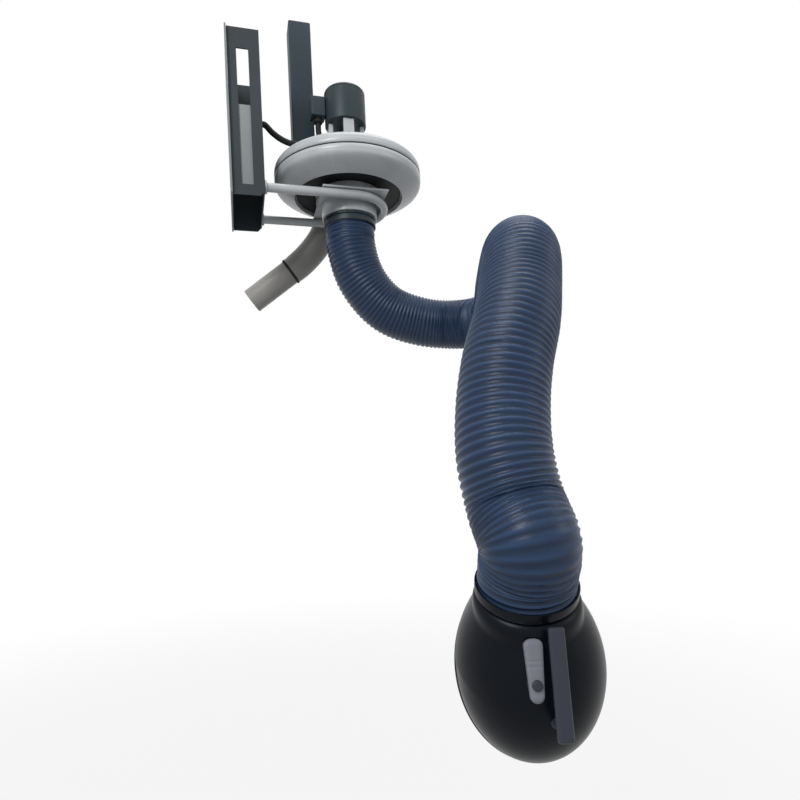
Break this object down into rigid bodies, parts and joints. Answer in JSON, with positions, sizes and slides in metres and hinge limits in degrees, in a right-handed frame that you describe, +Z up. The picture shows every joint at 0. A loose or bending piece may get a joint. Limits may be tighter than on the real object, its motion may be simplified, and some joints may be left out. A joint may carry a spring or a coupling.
{
  "type": "fume extraction arm",
  "caption": "Wall-mounted fume extraction arm: a centrifugal fan on a wall channel, a ribbed blue hose on a jointed inner arm, and a black scoop hood with a damper.",
  "frame": {"origin": "middle of the wall plate's back face, on the wall", "axes": "+X out of the wall into the room, +Z up, +Y along the wall, away from the hood"},
  "size_m": [0.8574, 1.4617, 1.9986],
  "materials": {
    "channel_steel": "satin dark grey paint",
    "pale_panel": "pale grey paint",
    "grey_paint": "glossy light grey enamel",
    "motor_black": "satin charcoal paint",
    "post_paint": "satin blue-grey paint",
    "black_rubber": "matte black rubber",
    "bearing_steel": "zinc plated steel",
    "cast_alloy": "as cast",
    "friction_brass": "turned",
    "hose_fabric": "coated navy fabric over a wire spiral",
    "outlet_plastic": "matte grey plastic",
    "hood_black": "glossy black",
    "grip_grey": "satin grey plastic"
  },
  "bodies": {
    "base": {"wall_plate": "pale_panel", "wall_channel": "channel_steel", "cable_cover_strip": "pale_panel", "bracket_hairpin": "grey_paint", "bracket_flange_near": "grey_paint", "bracket_flange_far": "grey_paint", "fan_seat_plate": "grey_paint", "fan_lower_housing": "grey_paint", "fan_upper_housing": "grey_paint", "seam_gasket": "black_rubber", "inlet_collar": "grey_paint", "motor_pillar_right": "grey_paint", "motor_pillar_back": "grey_paint", "motor_pillar_left": "grey_paint", "motor_pillar_near": "grey_paint", "motor_can": "motor_black", "motor_end_cap": "motor_black", "lower_bearing": "bearing_steel", "upper_bearing": "bearing_steel", "stator": "cast_alloy", "terminal_box": "motor_black", "cable_gland": "black_rubber", "motor_cable": "black_rubber", "post_foot": "post_paint", "support_post": "post_paint", "outlet_elbow": "outlet_plastic", "outlet_joint_ring": "black_rubber", "outlet_pipe": "outlet_plastic"},
    "rotor": {"motor_shaft": "bearing_steel", "rotor_core": "cast_alloy", "impeller": "cast_alloy"},
    "swivel": {"swivel_spigot": "motor_black", "swivel_spider": "cast_alloy", "inner_boom": "motor_black", "knuckle_pin": "bearing_steel", "knuckle_washer_upper": "friction_brass", "knuckle_washer_lower": "friction_brass", "hose_upper": "hose_fabric", "hose_clamp_top": "bearing_steel"},
    "outer_boom": {"outer_boom": "motor_black", "elbow_pin": "bearing_steel", "elbow_washer_upper": "friction_brass", "elbow_washer_lower": "friction_brass", "hose_middle": "hose_fabric"},
    "forearm": {"forearm_link": "motor_black", "wrist_pin": "bearing_steel", "wrist_washer_upper": "friction_brass", "wrist_washer_lower": "friction_brass", "hose_lower": "hose_fabric"},
    "hood": {"hood_shell": "hood_black", "neck_sleeve": "motor_black", "hood_spider": "cast_alloy", "hose_clamp_hood": "bearing_steel", "handle": "grip_grey", "rim_trim": "black_rubber", "damper_bush": "black_rubber"},
    "damper": {"damper_lever": "grip_grey", "damper_spindle": "bearing_steel", "damper_blade": "bearing_steel", "lever_cap": "grip_grey"}
  },
  "joints": [
    {"name": "fan_spin", "type": "hinge", "parent": "base", "child": "rotor", "pos_m": [0.37, 0, 0], "axis": [0, 0, 1], "continuous": true},
    {"name": "arm_swivel", "type": "hinge", "parent": "base", "child": "swivel", "pos_m": [0.37, 0, -0.22], "axis": [0, 0, 1], "range_deg": [-12, 95]},
    {"name": "knuckle_swing", "type": "hinge", "parent": "swivel", "child": "outer_boom", "pos_m": [0.75577, -0.08361, -0.56558], "axis": [0, 0, 1], "range_deg": [-35, 40], "deforming": ["hose_upper"]},
    {"name": "elbow_bend", "type": "hinge", "parent": "outer_boom", "child": "forearm", "pos_m": [0.53791, -0.84388, -0.67715], "axis": [0.8399, -0.5427, 0], "range_deg": [-45, 30], "deforming": ["hose_middle"]},
    {"name": "hood_tilt", "type": "hinge", "parent": "forearm", "child": "hood", "pos_m": [0.41199, -1.03792, -1.11143], "axis": [0.9872, 0.1592, 0], "range_deg": [-30, 30], "deforming": ["hose_lower"]},
    {"name": "damper_turn", "type": "hinge", "parent": "hood", "child": "damper", "pos_m": [0.43371, -0.97394, -1.40321], "axis": [-0.253, -0.9449, 0.208], "range_deg": [0, 90]}
  ]
}
